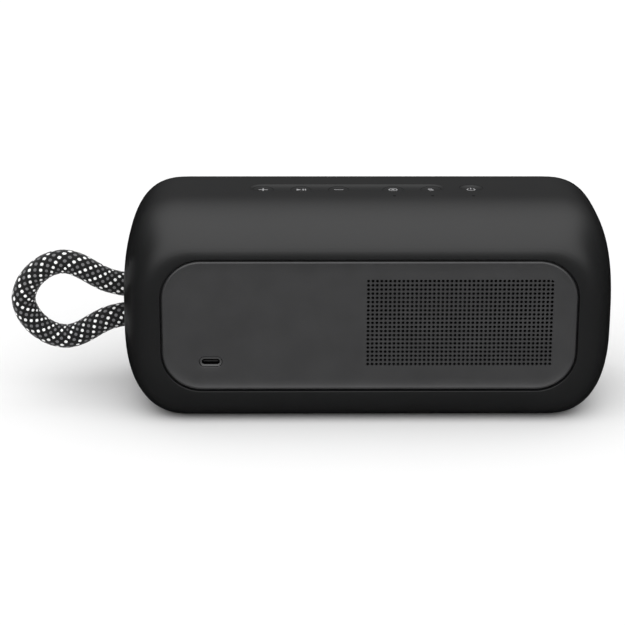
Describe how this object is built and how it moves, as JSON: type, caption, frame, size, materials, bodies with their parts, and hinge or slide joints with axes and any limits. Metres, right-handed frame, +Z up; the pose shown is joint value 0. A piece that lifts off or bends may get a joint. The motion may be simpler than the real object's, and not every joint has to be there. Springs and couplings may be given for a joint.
{
  "type": "portable waterproof speaker",
  "caption": "Pillow-shaped portable speaker in a soft sleeve, with a perforated rear panel, charging port, top keys and a braided carry loop at one end.",
  "frame": {"origin": "middle of the underside, on the surface the speaker stands on", "axes": "+Z up, front grille facing -Y, rear panel facing +Y, carry loop at the +X end"},
  "size_m": [0.2845, 0.086, 0.101],
  "materials": {
    "sleeve_silicone": "soft matt, slightly velvety",
    "key_silicone": "soft matt with pale printed icons",
    "foot_rubber": "matt",
    "powder_coated_metal": "fine powder coat, satin",
    "acoustic_cloth": "matt woven screen",
    "case_plastic": "fine moulded texture",
    "cradle_plastic": "natural moulded nylon",
    "clamp_plastic": "glass-filled nylon",
    "seal_rubber": "smooth",
    "zinc_steel": "zinc plated",
    "magnet_ferrite": "ground ferrite",
    "spider_cloth": "resin-stiffened weave",
    "roll_rubber": "smooth butyl",
    "cone_paper": "pressed fibre",
    "coil_copper": "enamelled copper",
    "dome_metal": "anodised",
    "radiator_plastic": "fine texture",
    "cell_wrap": "shrink wrap",
    "circuit_board": "solder mask",
    "bare_aluminium": "milled",
    "port_steel": "dark nickel plated",
    "port_plastic": "moulded",
    "led_resin": "clear-topped resin",
    "light_pipe": "smoked acrylic",
    "braided_rope": "braided black cover with white and grey diamonds"
  },
  "bodies": {
    "root": {"outer_sleeve": "sleeve_silicone", "base_foot": "foot_rubber", "front_grille": "powder_coated_metal", "front_screen": "acoustic_cloth", "front_baffle": "case_plastic", "front_case": "case_plastic", "case_gasket": "seal_rubber", "rear_case": "case_plastic", "rear_baffle": "case_plastic", "rear_screen": "acoustic_cloth", "rear_panel": "powder_coated_metal", "case_screws": "zinc_steel", "woofer_frame": "case_plastic", "woofer_top_plate": "zinc_steel", "woofer_magnet": "magnet_ferrite", "woofer_yoke": "zinc_steel", "woofer_spider": "spider_cloth", "woofer_surround": "roll_rubber", "tweeter_housing": "case_plastic", "radiator_frames": "case_plastic", "front_left_surround": "roll_rubber", "front_right_surround": "roll_rubber", "rear_left_surround": "roll_rubber", "rear_right_surround": "roll_rubber", "battery_cells": "cell_wrap", "battery_cradle": "cradle_plastic", "main_board": "circuit_board", "main_board_screws": "zinc_steel", "amplifier_heat_plate": "bare_aluminium", "antenna": "coil_copper", "usb_shell": "port_steel", "usb_tongue": "port_plastic", "usb_gasket": "seal_rubber", "button_tray": "case_plastic", "button_board": "circuit_board", "button_board_screws": "zinc_steel", "tact_switches": "port_steel", "status_leds": "led_resin", "light_pipes": "light_pipe", "button_strip": "sleeve_silicone", "rope_clamp_front": "clamp_plastic", "rope_clamp_rear": "clamp_plastic", "rope_clamp_screws": "zinc_steel"},
    "volume_up": {"volume_up_key": "key_silicone"},
    "play": {"play_key": "key_silicone"},
    "volume_down": {"volume_down_key": "key_silicone"},
    "shortcut": {"shortcut_key": "key_silicone"},
    "pairing": {"pairing_key": "key_silicone"},
    "power": {"power_key": "key_silicone"},
    "woofer_diaphragm": {"woofer_cone": "cone_paper", "woofer_dust_cap": "cone_paper", "woofer_voice_coil": "coil_copper"},
    "tweeter_diaphragm": {"tweeter_dome": "dome_metal"},
    "front_left_plate": {"front_left_radiator": "radiator_plastic"},
    "front_right_plate": {"front_right_radiator": "radiator_plastic"},
    "rear_left_plate": {"rear_left_radiator": "radiator_plastic"},
    "rear_right_plate": {"rear_right_radiator": "radiator_plastic"},
    "carry_loop": {"carry_rope": "braided_rope"}
  },
  "joints": [
    {"name": "volume_up_press", "type": "slide", "parent": "root", "child": "volume_up", "axis": [0, 0, -1], "range_m": [0, 0.0004], "stiffness_N_per_m": 6000},
    {"name": "play_press", "type": "slide", "parent": "root", "child": "play", "axis": [0, 0, -1], "range_m": [0, 0.0004], "stiffness_N_per_m": 6000},
    {"name": "volume_down_press", "type": "slide", "parent": "root", "child": "volume_down", "axis": [0, 0, -1], "range_m": [0, 0.0004], "stiffness_N_per_m": 6000},
    {"name": "shortcut_press", "type": "slide", "parent": "root", "child": "shortcut", "axis": [0, 0, -1], "range_m": [0, 0.0004], "stiffness_N_per_m": 6000},
    {"name": "pairing_press", "type": "slide", "parent": "root", "child": "pairing", "axis": [0, 0, -1], "range_m": [0, 0.0004], "stiffness_N_per_m": 6000},
    {"name": "power_press", "type": "slide", "parent": "root", "child": "power", "axis": [0, 0, -1], "range_m": [0, 0.0004], "stiffness_N_per_m": 6000},
    {"name": "woofer_stroke", "type": "slide", "parent": "root", "child": "woofer_diaphragm", "axis": [0, -1, 0], "range_m": [-0.0025, 0.0025], "stiffness_N_per_m": 1500, "deforming": ["woofer_surround", "woofer_spider"]},
    {"name": "tweeter_stroke", "type": "slide", "parent": "root", "child": "tweeter_diaphragm", "axis": [0, -1, 0], "range_m": [-0.0003, 0.0003], "stiffness_N_per_m": 4000},
    {"name": "front_left_stroke", "type": "slide", "parent": "root", "child": "front_left_plate", "axis": [0, -1, 0], "range_m": [-0.003, 0.003], "stiffness_N_per_m": 900, "deforming": ["front_left_surround"]},
    {"name": "front_right_stroke", "type": "slide", "parent": "root", "child": "front_right_plate", "axis": [0, -1, 0], "range_m": [-0.003, 0.003], "stiffness_N_per_m": 900, "deforming": ["front_right_surround"]},
    {"name": "rear_left_stroke", "type": "slide", "parent": "root", "child": "rear_left_plate", "axis": [0, 1, 0], "range_m": [-0.003, 0.003], "stiffness_N_per_m": 900, "deforming": ["rear_left_surround"]},
    {"name": "rear_right_stroke", "type": "slide", "parent": "root", "child": "rear_right_plate", "axis": [0, 1, 0], "range_m": [-0.003, 0.003], "stiffness_N_per_m": 900, "deforming": ["rear_right_surround"]},
    {"name": "loop_swing", "type": "hinge", "parent": "root", "child": "carry_loop", "pos_m": [0.1152, 0, 0.0473], "axis": [0, 0, 1], "range_deg": [-45, 45], "stiffness_Nm_per_rad": 0.05, "deforming": ["carry_rope"]}
  ]
}
